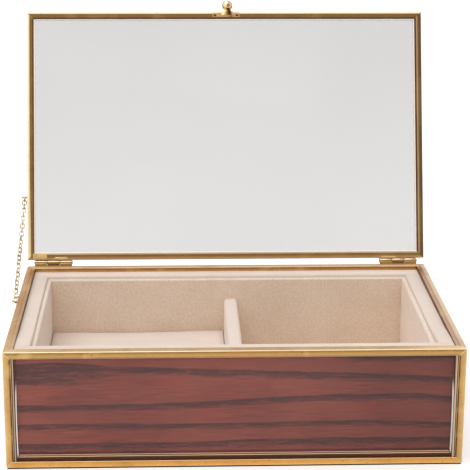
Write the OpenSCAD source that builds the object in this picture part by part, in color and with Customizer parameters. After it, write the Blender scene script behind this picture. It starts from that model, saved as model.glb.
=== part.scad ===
// Glass casket box: a brass-framed box with glazed wooden walls, a velvet-covered
// lining, a drop-in tray with two compartments, and a glass lid that opens on two
// small butt hinges and is held back by a cable chain.
// Millimetres. +X right, +Y to the hinges, +Z up. The origin is the middle of the
// felt underside, and the lid is drawn open, resting on its taut chain.

/* [Body] */
// Width of the box over its brass frame
body_w = 250; // [190:1:320]
// Depth of the box over its brass frame, front to back
body_d = 156.5; // [125:0.5:210]
// Height from the felt underside to the top of the rim
body_h = 67.6; // [56:0.1:100]

/* [Brass frame] */
// Thickness of the brass strip
brass_t = 0.8; // [0.6:0.1:1.2]
// Width of the rim's flat top
rim_w = 5.4; // [5.2:0.1:8]
// Height of the rim's outer face
rim_face = 3.9; // [3.2:0.1:6]
// Depth of the rim's inner lip, down to the lining
rim_lip = 2.4; // [1.4:0.1:3.5]
// Width of the sill that carries the walls
sill_w = 6; // [5.2:0.1:8]
// Height of the sill's outer face
sill_face = 3.4; // [2.6:0.1:6]
// Width of each face of a corner post
post_w = 4.4; // [3.2:0.1:6]

/* [Walls] */
// Thickness of the glass in the walls
pane_t = 2.5; // [2:0.1:3]
// Thickness of the wood veneer behind the glass
veneer_t = 1; // [0.6:0.1:1.4]
// Thickness of the base board where it lies on the sills
board_t = 3; // [2:0.1:5]
// Thickness of the felt underside
felt_t = 0.8; // [0.5:0.1:1.5]
// How far the felt stops short of the frame's outer edge
felt_inset = 1.5; // [0.5:0.1:4]

/* [Lining and tray] */
// Thickness of the fixed lining behind the veneer
lining_t = 8.9; // [6:0.1:12]
// Radius of the lining's inner top edge
lining_round = 1.8; // [1:0.1:2.5]
// Gap all round between the lining and the tray
tray_gap = 0.6; // [0.4:0.1:1.5]
// Thickness of the tray's walls
tray_t = 2.2; // [1.6:0.1:4]
// Thickness of the tray's floor
tray_floor_t = 2.5; // [1.5:0.1:4]
// How far the tray's walls stop below the top of the rim
tray_drop = 4.4; // [3.4:0.1:8]
// Thickness of the divider
divider_t = 8.2; // [5:0.1:10]
// How far the divider stands to the right of the middle
divider_x = 1.9; // [-30:0.1:30]
// How far the divider stops below the tray's walls
divider_drop = 12.4; // [6:0.1:16]
// Radius of the divider's top edges
divider_round = 2.2; // [1:0.1:2.4]
// How far the pad in the left compartment lies below the tray's walls
pad_drop = 33.4; // [20:0.1:34]
// Play round the pad
pad_play = 0.7; // [0.4:0.1:1.5]
// Radius of the pad's top edges
pad_round = 2.5; // [1:0.1:4]

/* [Lid] */
// Thickness of the lid over its brass channel
lid_t = 4.6; // [3.8:0.1:6]
// Width of the lid channel's two faces
lid_face = 4.4; // [3.6:0.1:6]
// Thickness of the lid channel's strip
lid_strip = 0.7; // [0.5:0.05:0.9]
// Gap between the closed lid and the rim
lid_gap = 0.7; // [0.6:0.05:1]
// Angle of the open lid, from closed
lid_open = 107.8; // [95:0.1:115]

/* [Hinges] */
// Distance from the side of the box to the middle of a hinge
hinge_inset = 16.3; // [14:0.1:40]
// Length of each of a hinge's three knuckles
knuckle_l = 7.6; // [5:0.1:9]
// Side play between two knuckles
knuckle_play = 0.2; // [0.15:0.01:0.4]
// Radius of a knuckle
knuckle_r = 1.5; // [1.3:0.05:1.6]
// Distance of the pin's axis behind the box
pin_back = 1.7; // [1.65:0.05:2]
// Height of the pin's axis above the rim
pin_up = 1.6; // [1.4:0.05:1.8]
// Radius of the pin
pin_r = 0.6; // [0.4:0.05:0.8]
// Radial play of the pin
pin_play = 0.05; // [0.03:0.01:0.1]
// Thickness of a leaf
leaf_t = 0.8; // [0.6:0.05:1]
// Height of a leaf's plate, past its knuckles
leaf_h = 2.2; // [1.6:0.1:2.4]

/* [Knob] */
// Radius of the ball
ball_r = 3.2; // [2.5:0.1:4.5]
// Distance of the ball's middle from its plate
ball_out = 4.1; // [3.6:0.1:6]
// Radius of the flared foot
foot_r = 3.3; // [2.8:0.1:6]
// Height of the flared foot
foot_h = 2.2; // [1:0.1:3]
// Radius of the neck
neck_r = 1.6; // [1.2:0.1:2.2]
// Distance of the knob to the right of the lid's middle
knob_x = 1.7; // [-3:0.1:3]
// Length of the saddle plate
saddle_l = 17; // [13:0.5:30]
// Distance of the saddle plate to the right of the lid's middle
saddle_x = 0.8; // [-3:0.1:3]
// Thickness of the saddle plate
saddle_t = 0.35; // [0.25:0.01:0.4]
// Width of the saddle's laps on the lid channel
saddle_lap = 3.2; // [2.6:0.1:3.4]
// Distance of each rivet from the middle of the saddle plate
rivet_x = 7; // [5.8:0.1:12]
// Radius of a rivet
rivet_r = 0.45; // [0.3:0.05:0.6]
// How far a rivet's head stands proud
rivet_proud = 0.1; // [0.05:0.01:0.15]

/* [Chain] */
// Length of a link, over which the chain's count is rounded
link_pitch = 3.55; // [3:0.05:5]
// Radius of the wire
wire_r = 0.33; // [0.3:0.01:0.45]
// Width of a link over its wire
link_w = 3.1; // [2.8:0.1:3.6]
// Play between two links of the taut chain
link_play = 0.18; // [0.08:0.01:0.2]
// Radius of the studs that hold the chain's ends
stud_r = 0.45; // [0.35:0.05:0.6]
// Radius of a stud's head
stud_head_r = 1.1; // [1:0.1:1.6]
// Twist of the chain's links at its lower stud
chain_twist = 45; // [35:5:45]
// Number of links over which the twist runs out
twist_links = 2; // [2:1:6]
// Number of links from the lower stud before it starts to run out
twisted_links = 14; // [14:1:16]
// Distance of the lower stud behind the middle of the box
lower_stud_y = 14; // [0:0.5:30]
// Distance of the lower stud below the top of the rim
lower_stud_drop = 1.9; // [1.6:0.1:2.4]
// Distance of the upper stud from the lid's hinged edge
upper_stud_up = 39.5; // [25:0.5:60]
// Play between the chain and the side of the box
chain_play = 0.15; // [0.15:0.05:1]

/* [Hidden] */
$fn = 64;
cut = 1; // overrun of a cutting tool past the face that it cuts

// Layers, from the outside of a wall inwards
in_pane = brass_t;
in_veneer = in_pane + pane_t;
in_lining = in_veneer + veneer_t;
in_tray = in_lining + lining_t + tray_gap;
in_space = in_tray + tray_t;

// Levels, from the felt upwards
sill_z = felt_t;
wall_z = sill_z + brass_t;
board_top = wall_z + board_t;
wall_top = body_h - brass_t;
lining_top = body_h - rim_lip;
tray_top = body_h - tray_drop;
floor_top = board_top + tray_floor_t;
divider_top = tray_top - divider_drop;
pad_top = tray_top - pad_drop;
lid_z = body_h + lid_gap;

// Inside of the tray
space_w = body_w - 2 * in_space;
space_d = body_d - 2 * in_space;

// Hinges
axis_y = body_d / 2 + pin_back;
axis_z = body_h + pin_up;
hinge_l = 3 * knuckle_l + 2 * knuckle_play;
plate_off = knuckle_r + 0.2;
head_r = pin_r + 0.4;
head_h = 0.4;

// Chain, which stands off far enough for a link to lie flat towards the box
bend_r = link_w / 2 - wire_r;
chain_x = -body_w / 2 - chain_play - bend_r - wire_r;
stud_len = -body_w / 2 - chain_x + bend_r * cos(45) + wire_r + chain_play;
stud_head_h = 0.5;
lower_stud = [lower_stud_y, body_h - lower_stud_drop];
upper_closed = [body_d / 2 - upper_stud_up, lid_z + lid_t / 2];
upper_stud = opened(upper_closed);
chain_run = upper_stud - lower_stud;
chain_l = norm(chain_run);
chain_angle = atan2(chain_run[1], chain_run[0]);
all_links = 2 * round((chain_l + 2 * stud_r) / (2 * link_pitch));
pitch = (chain_l + 2 * stud_r) / all_links;
link_inner = pitch + link_play;

// The stretches that stay straight while the slack chain folds into a loop
lower_run_links = 10;
bend_links = 2;
upper_run_links = 5;
first_of_middle_bend = lower_run_links + bend_links;
first_of_middle_run = first_of_middle_bend + bend_links;
lower_links = all_links - upper_run_links;

echo(links = all_links, pitch = pitch, chain_length = chain_l, chain_x = chain_x);
echo(chain_angle = chain_angle, lower_stud = lower_stud, upper_stud = upper_stud);
echo(hinge_axis = [axis_y, axis_z]);

// Where a point [y, z] of the closed lid lies when the lid is open
function opened(p) =
    let (y = p[0] - axis_y, z = p[1] - axis_z, c = cos(lid_open), s = sin(lid_open))
    [axis_y + y * c + z * s, axis_z - y * s + z * c];

// Carries its children from the closed lid to the open lid
module on_lid() {
    translate([0, axis_y, axis_z])
        rotate([-lid_open, 0, 0])
            translate([0, -axis_y, -axis_z])
                children();
}

// ---- Brass angle and channel -------------------------------------------------

// Flat shape whose ends are mitred at 45 degrees, as long as its first edge
module mitre(length, reach) {
    polygon([[0, 0], [length, 0], [length - reach, reach], [reach, reach]]);
}

// A frame member along X. Its section lies in Y and Z with the frame's outer edge at
// the origin, and its ends are mitred in both of the faces that it shows.
module edge_bar(length, section, reach) {
    intersection() {
        rotate([90, 0, 90]) linear_extrude(length) polygon(section);
        linear_extrude(reach) mitre(length, reach);
        translate([0, reach, 0]) rotate([90, 0, 0]) linear_extrude(reach) mitre(length, reach);
    }
}

// Swaps X with Y, or X with Z, to turn a bar along another edge
module along_y() { mirror([1, -1, 0]) children(); }
module along_z() { mirror([1, 0, -1]) children(); }

// Puts its children, drawn for the left front bottom corner, at another corner
module at_corner(right, back, top) {
    translate([(right ? 1 : -1) * body_w / 2, (back ? 1 : -1) * body_d / 2, top ? body_h : sill_z])
        mirror([right ? 1 : 0, 0, 0])
            mirror([0, back ? 1 : 0, 0])
                mirror([0, 0, top ? 1 : 0])
                    children();
}

// Sections [inwards, inwards] of the rim, the sill and the corner post
rim_section = [[0, 0], [rim_w, 0], [rim_w, rim_lip], [rim_w - brass_t, rim_lip],
               [rim_w - brass_t, brass_t], [brass_t, brass_t], [brass_t, rim_face], [0, rim_face]];
sill_section = [[0, 0], [sill_w, 0], [sill_w, brass_t], [brass_t, brass_t],
                [brass_t, sill_face], [0, sill_face]];
post_section = [[0, 0], [post_w, 0], [post_w, brass_t], [brass_t, brass_t],
                [brass_t, post_w], [0, post_w]];
frame_reach = max(rim_w, sill_w, rim_face, sill_face, post_w) + cut;

// A brass bar of one section along the box's width, depth or height, at one corner
module width_bar(section, back, top) {
    color("goldenrod") at_corner(false, back, top) edge_bar(body_w, section, frame_reach);
}
module depth_bar(section, right, top) {
    color("goldenrod") at_corner(right, false, top) along_y() edge_bar(body_d, section, frame_reach);
}
module post(right, back) {
    color("goldenrod")
        at_corner(right, back, false) along_z() edge_bar(body_h - sill_z, post_section, frame_reach);
}

module rim_front() { width_bar(rim_section, false, true); }
module rim_back() { width_bar(rim_section, true, true); }
module rim_left() { depth_bar(rim_section, false, true); }
module rim_right() { depth_bar(rim_section, true, true); }

module sill_front() { width_bar(sill_section, false, false); }
module sill_back() { width_bar(sill_section, true, false); }
module sill_left() { depth_bar(sill_section, false, false); }
module sill_right() { depth_bar(sill_section, true, false); }

module post_front_left() { post(false, false); }
module post_front_right() { post(true, false); }
module post_back_left() { post(false, true); }
module post_back_right() { post(true, true); }

// ---- Walls -------------------------------------------------------------------

// A box between two corners
module block(low, high) {
    translate(low) cube(high - low);
}

// A wall across the whole width, from one depth in from the frame to another
module cross_wall(from, to, low, high) {
    block([-body_w / 2 + from, -body_d / 2 + from, low], [body_w / 2 - from, -body_d / 2 + to, high]);
}

// A side wall that fits between the two cross walls
module side_wall(from, to, low, high) {
    block([-body_w / 2 + from, -body_d / 2 + to, low], [-body_w / 2 + to, body_d / 2 - to, high]);
}

module glass_front() { color("lightcyan", 0.5) cross_wall(in_pane, in_veneer, wall_z, wall_top); }
module glass_back() { mirror([0, 1, 0]) glass_front(); }
module glass_left() { color("lightcyan", 0.5) side_wall(in_pane, in_veneer, wall_z, wall_top); }
module glass_right() { mirror([1, 0, 0]) glass_left(); }

module veneer_front() { color("saddlebrown") cross_wall(in_veneer, in_lining, wall_z, wall_top); }
module veneer_back() { mirror([0, 1, 0]) veneer_front(); }
module veneer_left() { color("saddlebrown") side_wall(in_veneer, in_lining, wall_z, wall_top); }
module veneer_right() { mirror([1, 0, 0]) veneer_left(); }

// The board lies on the sills, and its thicker middle fills the space between them
module base_board() {
    color("tan") {
        block([-body_w / 2 + in_lining, -body_d / 2 + in_lining, wall_z],
              [body_w / 2 - in_lining, body_d / 2 - in_lining, board_top]);
        block([-body_w / 2 + sill_w, -body_d / 2 + sill_w, sill_z],
              [body_w / 2 - sill_w, body_d / 2 - sill_w, board_top]);
    }
}

module base_felt() {
    color("dimgray")
        block([-body_w / 2 + felt_inset, -body_d / 2 + felt_inset, 0],
              [body_w / 2 - felt_inset, body_d / 2 - felt_inset, sill_z]);
}

// ---- Lining ------------------------------------------------------------------

// Section [inwards, up] of a lining wall, rounded where it meets the tray
module lining_section() {
    high = lining_top - board_top;
    square([lining_t, high - lining_round]);
    square([lining_t - lining_round, high]);
    translate([lining_t - lining_round, high - lining_round]) circle(lining_round);
}

module lining_front() {
    color("bisque")
        translate([-body_w / 2 + in_lining, -body_d / 2 + in_lining, board_top])
            rotate([90, 0, 90]) linear_extrude(body_w - 2 * in_lining) lining_section();
}
module lining_back() { mirror([0, 1, 0]) lining_front(); }

// The side walls butt against the front and back ones
module lining_left() {
    color("bisque")
        translate([-body_w / 2 + in_lining, body_d / 2 - in_lining - lining_t, board_top])
            rotate([90, 0, 0]) linear_extrude(body_d - 2 * (in_lining + lining_t)) lining_section();
}
module lining_right() { mirror([1, 0, 0]) lining_left(); }

// ---- Tray --------------------------------------------------------------------

// Section [inwards, up] of a tray wall, with a full round on top
module tray_section() {
    high = tray_top - board_top;
    square([tray_t, high - tray_t / 2]);
    translate([tray_t / 2, high - tray_t / 2]) circle(d = tray_t);
}

module tray_front() {
    color("bisque")
        translate([-body_w / 2 + in_tray, -body_d / 2 + in_tray, board_top])
            rotate([90, 0, 90]) linear_extrude(body_w - 2 * in_tray) tray_section();
}
module tray_back() { mirror([0, 1, 0]) tray_front(); }

module tray_left() {
    color("bisque")
        translate([-body_w / 2 + in_tray, body_d / 2 - in_space, board_top])
            rotate([90, 0, 0]) linear_extrude(space_d) tray_section();
}
module tray_right() { mirror([1, 0, 0]) tray_left(); }

module tray_floor() {
    color("bisque") block([-space_w / 2, -space_d / 2, board_top], [space_w / 2, space_d / 2, floor_top]);
}

// A panel on the floor with its two long top edges rounded, drawn along Y
module round_topped(low_x, high_x, low_z, high_z, low_y, high_y, r) {
    translate([0, high_y, 0]) rotate([90, 0, 0]) linear_extrude(high_y - low_y) {
        translate([low_x, low_z]) square([high_x - low_x, high_z - low_z - r]);
        translate([low_x + r, low_z]) square([high_x - low_x - 2 * r, high_z - low_z]);
        translate([low_x + r, high_z - r]) circle(r);
        translate([high_x - r, high_z - r]) circle(r);
    }
}

module tray_divider() {
    color("bisque")
        round_topped(divider_x - divider_t / 2, divider_x + divider_t / 2, floor_top, divider_top,
                     -space_d / 2, space_d / 2, divider_round);
}

// The raised pad lies loose in the left compartment, rounded along all its top edges
module tray_pad() {
    left = -space_w / 2 + pad_play;
    right = divider_x - divider_t / 2 - pad_play;
    back = space_d / 2 - pad_play;
    color("antiquewhite") intersection() {
        round_topped(left, right, floor_top, pad_top, -back, back, pad_round);
        mirror([1, -1, 0]) round_topped(-back, back, floor_top, pad_top, left, right, pad_round);
    }
}

// ---- Hinges ------------------------------------------------------------------

// One knuckle with its tongue to the plate, on an axis along X. way is 1 for the lid's
// leaf, which stands up from the axis, and -1 for the body's leaf, which hangs down.
module knuckle(length, way) {
    rotate([0, 90, 0]) cylinder(h = length, r = knuckle_r);
    block([0, -pin_back, way > 0 ? 0 : -plate_off], [length, -pin_back + leaf_t, way > 0 ? plate_off : 0]);
}

// The plate beyond the knuckles, as long as the whole hinge
module leaf_plate(way) {
    block([0, -pin_back, way > 0 ? plate_off : -plate_off - leaf_h],
          [hinge_l, -pin_back + leaf_t, way > 0 ? plate_off + leaf_h : -plate_off]);
}

module pin_bore() {
    translate([-cut, 0, 0]) rotate([0, 90, 0]) cylinder(h = hinge_l + 2 * cut, r = pin_r + pin_play);
}

// Puts a hinge, drawn along X from its left end, on the left or right of the box
module at_hinge(side) {
    translate([side * (body_w / 2 - hinge_inset) - hinge_l / 2, axis_y, axis_z]) children();
}

module body_leaf(side) {
    color("goldenrod") at_hinge(side) difference() {
        union() {
            knuckle(knuckle_l, -1);
            translate([hinge_l - knuckle_l, 0, 0]) knuckle(knuckle_l, -1);
            leaf_plate(-1);
        }
        pin_bore();
    }
}

module lid_leaf(side) {
    color("goldenrod") on_lid() at_hinge(side) difference() {
        union() {
            translate([knuckle_l + knuckle_play, 0, 0]) knuckle(knuckle_l, 1);
            leaf_plate(1);
        }
        pin_bore();
    }
}

// A pin with a low head peened over at each end
module hinge_pin(side) {
    color("darkgoldenrod") at_hinge(side) rotate([0, 90, 0]) {
        cylinder(h = hinge_l, r = pin_r);
        translate([0, 0, -head_h]) cylinder(h = head_h, r1 = pin_r, r2 = head_r);
        translate([0, 0, hinge_l]) cylinder(h = head_h, r1 = head_r, r2 = pin_r);
    }
}

module hinge_left_body_leaf() { body_leaf(-1); }
module hinge_left_lid_leaf() { lid_leaf(-1); }
module hinge_left_pin() { hinge_pin(-1); }
module hinge_right_body_leaf() { body_leaf(1); }
module hinge_right_lid_leaf() { lid_leaf(1); }
module hinge_right_pin() { hinge_pin(1); }

// ---- Lid ---------------------------------------------------------------------

// Section [inwards, up] of the lid's channel
lid_section = [[0, 0], [lid_face, 0], [lid_face, lid_strip], [lid_strip, lid_strip],
               [lid_strip, lid_t - lid_strip], [lid_face, lid_t - lid_strip],
               [lid_face, lid_t], [0, lid_t]];

// A lid rail along X with mitred ends, its outer edge at the origin
module lid_bar(length) {
    intersection() {
        rotate([90, 0, 90]) linear_extrude(length) polygon(lid_section);
        linear_extrude(lid_t) mitre(length, lid_face + cut);
    }
}

// Puts its children, drawn for the left front corner of the closed lid, at another one
module at_lid_corner(right, back) {
    on_lid() translate([(right ? 1 : -1) * body_w / 2, (back ? 1 : -1) * body_d / 2, lid_z])
        mirror([right ? 1 : 0, 0, 0])
            mirror([0, back ? 1 : 0, 0])
                children();
}

// The front rail is drilled for the knob's four rivets
module lid_rail_front() {
    color("goldenrod") difference() {
        at_lid_corner(false, false) lid_bar(body_w);
        rivets(rivet_r);
    }
}
module lid_rail_back() { color("goldenrod") at_lid_corner(false, true) lid_bar(body_w); }
module lid_rail_left() { color("goldenrod") at_lid_corner(false, false) along_y() lid_bar(body_d); }
module lid_rail_right() { color("goldenrod") at_lid_corner(true, false) along_y() lid_bar(body_d); }

module lid_glass() {
    color("lightcyan", 0.4)
        on_lid() block([-body_w / 2 + lid_strip, -body_d / 2 + lid_strip, lid_z + lid_strip],
                       [body_w / 2 - lid_strip, body_d / 2 - lid_strip, lid_z + lid_t - lid_strip]);
}

// ---- Knob --------------------------------------------------------------------

// Two rivets under the lid and two on top of it, through the saddle and the channel
module rivets(r) {
    y = -body_d / 2 + saddle_lap / 2;
    h = rivet_proud + saddle_t + lid_strip;
    low = lid_z - saddle_t - rivet_proud;
    on_lid() for (x = [saddle_x - rivet_x, saddle_x + rivet_x], z = [low, lid_z + lid_t - lid_strip])
        translate([x, y, z]) cylinder(h = h, r = r);
}

module knob_rivets() { color("darkgoldenrod") rivets(rivet_r); }

// A strip folded over the front rail
module knob_saddle() {
    front = -body_d / 2;
    color("goldenrod") difference() {
        on_lid() difference() {
            block([saddle_x - saddle_l / 2, front - saddle_t, lid_z - saddle_t],
                  [saddle_x + saddle_l / 2, front + saddle_lap, lid_z + lid_t + saddle_t]);
            block([saddle_x - saddle_l / 2 - cut, front, lid_z],
                  [saddle_x + saddle_l / 2 + cut, front + saddle_lap + cut, lid_z + lid_t]);
        }
        rivets(rivet_r);
    }
}

// A ball on a neck and a flared foot, the foot trimmed to the lid's thickness
module lid_knob() {
    color("goldenrod")
        on_lid() translate([knob_x, -body_d / 2 - saddle_t, lid_z + lid_t / 2]) rotate([90, 0, 0])
            intersection() {
                union() {
                    cylinder(h = foot_h, r1 = foot_r, r2 = neck_r);
                    cylinder(h = ball_out, r = neck_r);
                    translate([0, 0, ball_out]) sphere(ball_r);
                }
                union() {
                    block([-foot_r - cut, -lid_t / 2 - saddle_t, 0],
                          [foot_r + cut, lid_t / 2 + saddle_t, foot_h]);
                    translate([0, 0, foot_h]) cylinder(h = ball_out + ball_r, r = ball_r + cut);
                }
            }
}

// ---- Chain -------------------------------------------------------------------

// A stud along -X with a head, which stands out of the side of the box at [y, z]
module stud_at(p) {
    translate([-body_w / 2, p[0], p[1]]) rotate([0, -90, 0]) {
        cylinder(h = stud_len, r = stud_r);
        translate([0, 0, stud_len]) cylinder(h = stud_head_h, r1 = stud_head_r, r2 = stud_r);
    }
}

module chain_stud_lower() { color("goldenrod") stud_at(lower_stud); }
module chain_stud_upper() { color("goldenrod") on_lid() stud_at(upper_closed); }

// One oval link about the origin, its length along X and its width along Y
module link() {
    straight = link_inner - 2 * (bend_r - wire_r);
    for (end = [-1, 1]) {
        translate([end * straight / 2, 0, 0])
            rotate([0, 0, end > 0 ? -90 : 90])
                rotate_extrude(angle = 180) translate([bend_r, 0]) circle(wire_r);
        translate([-straight / 2, end * bend_r, 0]) rotate([0, 90, 0]) cylinder(h = straight, r = wire_r);
    }
}

// Turn of link n of the taut chain, counted from the lower stud: a quarter round from
// the one before, with a twist that runs out towards the upper stud
function turn(n) =
    90 * (n % 2) + chain_twist * min(1, max(0, (twisted_links + twist_links - n) / twist_links));

// The links numbered first to last, counted from the stud at start
module links(start, angle, first, last, from_top) {
    color("goldenrod")
        translate([chain_x, start[0], start[1]]) rotate([angle, 0, 0]) rotate([0, 0, 90])
            for (i = [first : last])
                translate([(i + 0.5) * pitch - stud_r, 0, 0])
                    rotate([from_top ? -turn(all_links - 1 - i) : turn(i), 0, 0])
                        link();
}

module from_below(first, last) { links(lower_stud, chain_angle, first, last, false); }
module chain_lower_run() { from_below(0, lower_run_links - 1); }
module chain_lower_bend() { from_below(lower_run_links, first_of_middle_bend - 1); }
module chain_middle_bend() { from_below(first_of_middle_bend, first_of_middle_run - 1); }
module chain_middle_run() { from_below(first_of_middle_run, lower_links - 1); }
// Counted down from the upper stud
module chain_upper_run() { links(upper_stud, chain_angle + 180, 0, upper_run_links - 1, true); }

rim_front();
rim_back();
rim_left();
rim_right();
sill_front();
sill_back();
sill_left();
sill_right();
post_front_left();
post_front_right();
post_back_left();
post_back_right();
glass_front();
glass_back();
glass_left();
glass_right();
veneer_front();
veneer_back();
veneer_left();
veneer_right();
base_board();
base_felt();
lining_front();
lining_back();
lining_left();
lining_right();
tray_front();
tray_back();
tray_left();
tray_right();
tray_floor();
tray_divider();
tray_pad();
hinge_left_body_leaf();
hinge_left_lid_leaf();
hinge_left_pin();
hinge_right_body_leaf();
hinge_right_lid_leaf();
hinge_right_pin();
lid_rail_front();
lid_rail_back();
lid_rail_left();
lid_rail_right();
lid_glass();
lid_knob();
knob_saddle();
knob_rivets();
chain_stud_lower();
chain_stud_upper();
chain_lower_run();
chain_lower_bend();
chain_middle_bend();
chain_middle_run();
chain_upper_run();
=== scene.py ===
# %% [markdown]
# # A glass box with a brass frame, dressed for the camera
# The construction is already measured and packed: bars, panes, hinges, chain and
# boards all have their places in metres. This lesson gives each of them the shape of
# a finished edge and the finish of a real surface. We load the measured model first,
# and keep its outer box, because the dressed box may not be a different size.

# %% Load the measured model
from math import cos, pi, radians, sin

import bmesh
import bpy
from mathutils import Matrix, Vector, noise


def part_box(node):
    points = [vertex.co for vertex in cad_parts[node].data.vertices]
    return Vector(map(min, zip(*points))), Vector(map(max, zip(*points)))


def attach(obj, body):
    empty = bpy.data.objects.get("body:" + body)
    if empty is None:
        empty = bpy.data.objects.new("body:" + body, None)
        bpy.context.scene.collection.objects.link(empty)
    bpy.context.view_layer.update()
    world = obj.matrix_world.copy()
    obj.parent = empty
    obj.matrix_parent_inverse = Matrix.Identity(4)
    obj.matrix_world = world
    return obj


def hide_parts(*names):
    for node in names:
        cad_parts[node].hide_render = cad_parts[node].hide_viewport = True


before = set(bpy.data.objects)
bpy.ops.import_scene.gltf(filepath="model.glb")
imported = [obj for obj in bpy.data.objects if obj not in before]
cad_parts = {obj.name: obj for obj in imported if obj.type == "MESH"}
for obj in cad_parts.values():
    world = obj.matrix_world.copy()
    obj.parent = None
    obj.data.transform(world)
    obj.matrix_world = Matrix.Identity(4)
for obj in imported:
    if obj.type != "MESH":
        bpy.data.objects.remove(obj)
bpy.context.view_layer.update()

MM = 0.001
half_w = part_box("rim_right")[1].x
half_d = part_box("rim_back")[1].y
rim_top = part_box("rim_front")[1].z
brass_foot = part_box("sill_front")[0].z

# %% [markdown]
# The camera stands in front and a little to the left, 16 degrees above the box, with a
# long lens, so that the four upright edges stay nearly parallel. Its matrix is built
# from the yaw, pitch and roll of the view, because three angles are easier to
# understand and to correct than nine numbers.

# %% Camera
yaw, pitch, roll = radians(2.2225), radians(16.041), radians(0.271)
ahead = Vector((sin(yaw) * cos(pitch), cos(yaw) * cos(pitch), -sin(pitch)))
level = Vector((cos(yaw), -sin(yaw), 0))
above = level.cross(ahead)
right = cos(roll) * level + sin(roll) * above
up = -sin(roll) * level + cos(roll) * above
lens = bpy.data.cameras.new("view")
lens.sensor_width = 36
lens.lens = 122.45
camera = bpy.data.objects.new("view", lens)
camera.matrix_world = Matrix.Translation((-0.032096, -0.884905, 0.364312)) @ Matrix((right, up, -ahead)).transposed().to_4x4()
bpy.context.scene.collection.objects.link(camera)
bpy.context.scene.camera = camera
print("camera stands", round(camera.location.length, 3), "m away")

# %% [markdown]
# Materials are graphs of nodes, and a graph of sums is tedious to wire by hand. A small
# class stands for one output of a node and overloads the arithmetic signs, so a mask
# can be written as `1 - mask * 0.5` and the Math nodes make themselves. A second class
# owns a node tree and adds any other node through one method.

# %% Shader arithmetic
class Value:
    """One output of a node, used like a number, a colour or a vector."""

    def __init__(self, recipe, socket):
        self.recipe, self.socket = recipe, socket

    def math(self, operation, *others):
        return self.recipe.node("ShaderNodeMath", {"operation": operation}, [self, *others])

    def __add__(self, other):
        return self.math("ADD", other)

    def __mul__(self, other):
        return self.math("MULTIPLY", other)

    def __sub__(self, other):
        return self.math("SUBTRACT", other)

    def __truediv__(self, other):
        return self.math("DIVIDE", other)

    def __rsub__(self, other):
        return self.recipe.node("ShaderNodeMath", {"operation": "SUBTRACT"}, [other, self])

    __radd__, __rmul__ = __add__, __mul__

    def __abs__(self):
        return self.math("ABSOLUTE")

    def least(self, other):
        return self.math("MINIMUM", other)

    def most(self, other):
        return self.math("MAXIMUM", other)

    def rise(self, low, high):
        """0 below low, 1 above high and a smooth rise between."""
        return self.recipe.node("ShaderNodeMapRange", {"interpolation_type": "SMOOTHSTEP"}, [self, low, high, 0, 1])

    def line(self, middle, half, soft):
        """1 within half of the middle, fading over soft."""
        return 1 - abs(self - middle).rise(half, half + soft)

    def scaled(self, x, y, z):
        return self.recipe.node("ShaderNodeVectorMath", {"operation": "MULTIPLY"}, [self, (x, y, z)])

    def dot(self, direction):
        return self.recipe.node("ShaderNodeVectorMath", {"operation": "DOT_PRODUCT"}, [self, tuple(direction)], "Value")

    def ramp(self, *stops):
        return self.recipe.node("ShaderNodeValToRGB", {"stops": stops}, [self])


class Recipe:
    """A node tree that a finish is written in."""

    def __init__(self, tree):
        self.tree = tree
        tree.nodes.clear()

    def node(self, kind, settings=None, values=(), out=0):
        made = self.tree.nodes.new(kind)
        for name, setting in (settings or {}).items():
            if name == "stops":
                places = made.color_ramp.elements
                while len(places) < len(setting):
                    places.new(0.5)
                for place, (where, colour) in zip(places, setting):
                    place.position, place.color = where, colour
            else:
                setattr(made, name, setting)
        for key, value in values.items() if isinstance(values, dict) else enumerate(values):
            if isinstance(value, Value):
                self.tree.links.new(value.socket, made.inputs[key])
            else:
                made.inputs[key].default_value = value
        return Value(self, made.outputs[out])

    def place(self):
        return self.node("ShaderNodeTexCoord", out="Object")

    def facing(self):
        return self.node("ShaderNodeTexCoord", out="Normal")

    def parts(self, vector):
        split = self.node("ShaderNodeSeparateXYZ", values=[vector])
        return [Value(self, socket) for socket in split.socket.node.outputs]

    def attribute(self, name):
        return self.node("ShaderNodeAttribute", {"attribute_name": name}, out="Fac")

    def cloud(self, where, scale, detail=2, rough=0.5, warp=0):
        return self.node("ShaderNodeTexNoise", values={"Vector": where, "Scale": scale, "Detail": detail, "Roughness": rough, "Distortion": warp})

    def mix(self, mask, below, above, blend="MIX"):
        return self.node("ShaderNodeMix", {"data_type": "RGBA", "blend_type": blend}, {0: mask, 6: below, 7: above}, 2)

    def dimmed(self, colour, amount):
        """The colour multiplied by a number that may vary."""
        return self.node("ShaderNodeVectorMath", {"operation": "SCALE"}, {0: colour, "Scale": amount})

    def bump(self, height, depth, strength=1.0):
        return self.node("ShaderNodeBump", values={"Height": height, "Distance": depth, "Strength": strength}, out="Normal")

    def surface(self, **sockets):
        values = {name.replace("_", " "): value for name, value in sockets.items()}
        shader = self.node("ShaderNodeBsdfPrincipled", values=values)
        self.node_out(shader)

    def node_out(self, shader):
        end = self.tree.nodes.new("ShaderNodeOutputMaterial")
        self.tree.links.new(shader.socket, end.inputs["Surface"])


def finish(name):
    material = bpy.data.materials.new(name)
    material.use_nodes = True
    return material, Recipe(material.node_tree)


def tone(red, green, blue):
    """A colour given as screen values from 0 to 255, as the shader wants it."""
    linear = [c / 255 / 12.92 if c <= 10 else ((c / 255 + 0.055) / 1.055) ** 2.4 for c in (red, green, blue)]
    return (*linear, 1.0)


print("shader arithmetic ready; mid grey is", [round(c, 3) for c in tone(128, 128, 128)])
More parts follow.
